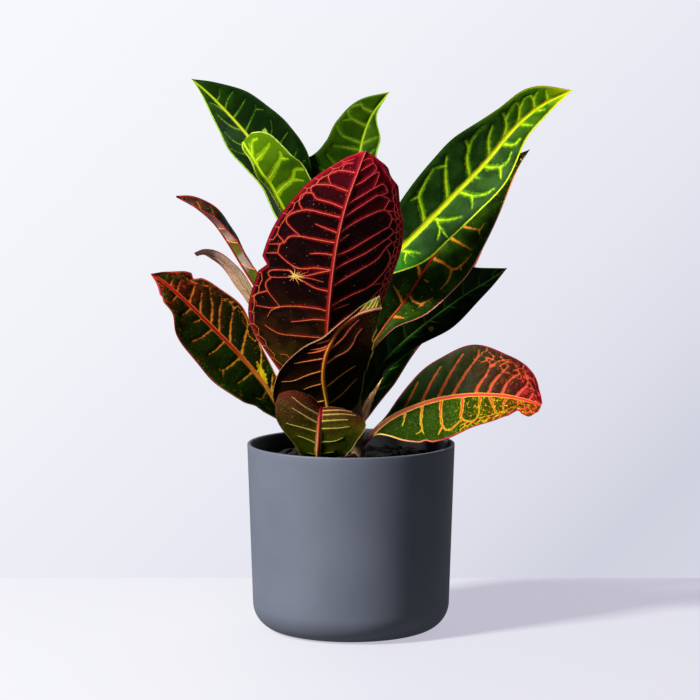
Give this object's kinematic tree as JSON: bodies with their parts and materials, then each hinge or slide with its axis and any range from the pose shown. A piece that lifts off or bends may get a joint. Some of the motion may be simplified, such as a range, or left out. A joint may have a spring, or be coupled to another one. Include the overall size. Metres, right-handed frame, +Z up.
{
  "type": "potted croton",
  "caption": "Croton house plant with broad red, green and lime veined leaves on one woody stem, standing in soil in a round matte grey-blue pot.",
  "frame": {"origin": "centre of the pot's underside, on the surface it stands on", "axes": "+Z up along the pot's axis, -Y towards the viewer of the large red leaf, +X to that viewer's right"},
  "size_m": [0.2813, 0.14, 0.3704],
  "materials": {
    "pot": "matte",
    "soil": "matte",
    "stem": "matte",
    "leaf_crimson": "satin",
    "leaf_green": "satin",
    "leaf_lime": "satin",
    "leaf_dark": "satin",
    "leaf_olive": "satin",
    "leaf_pale": "satin",
    "leaf_mixed": "satin",
    "leaf_maroon": "satin"
  },
  "bodies": {
    "root": {"pot": "pot", "soil": "soil", "stem": "stem", "leaf_red_front": "leaf_crimson", "leaf_upper_left": "leaf_green", "leaf_young_lime": "leaf_lime", "leaf_top": "leaf_green", "leaf_upper_right": "leaf_green", "leaf_dark_right": "leaf_dark", "leaf_right": "leaf_dark", "leaf_lower_back_right": "leaf_dark", "leaf_left_folded": "leaf_olive", "leaf_left_pale": "leaf_pale", "leaf_lower_left": "leaf_mixed", "leaf_front_curled": "leaf_maroon", "leaf_front_low": "leaf_olive", "leaf_lower_right": "leaf_mixed"}
  },
  "joints": []
}
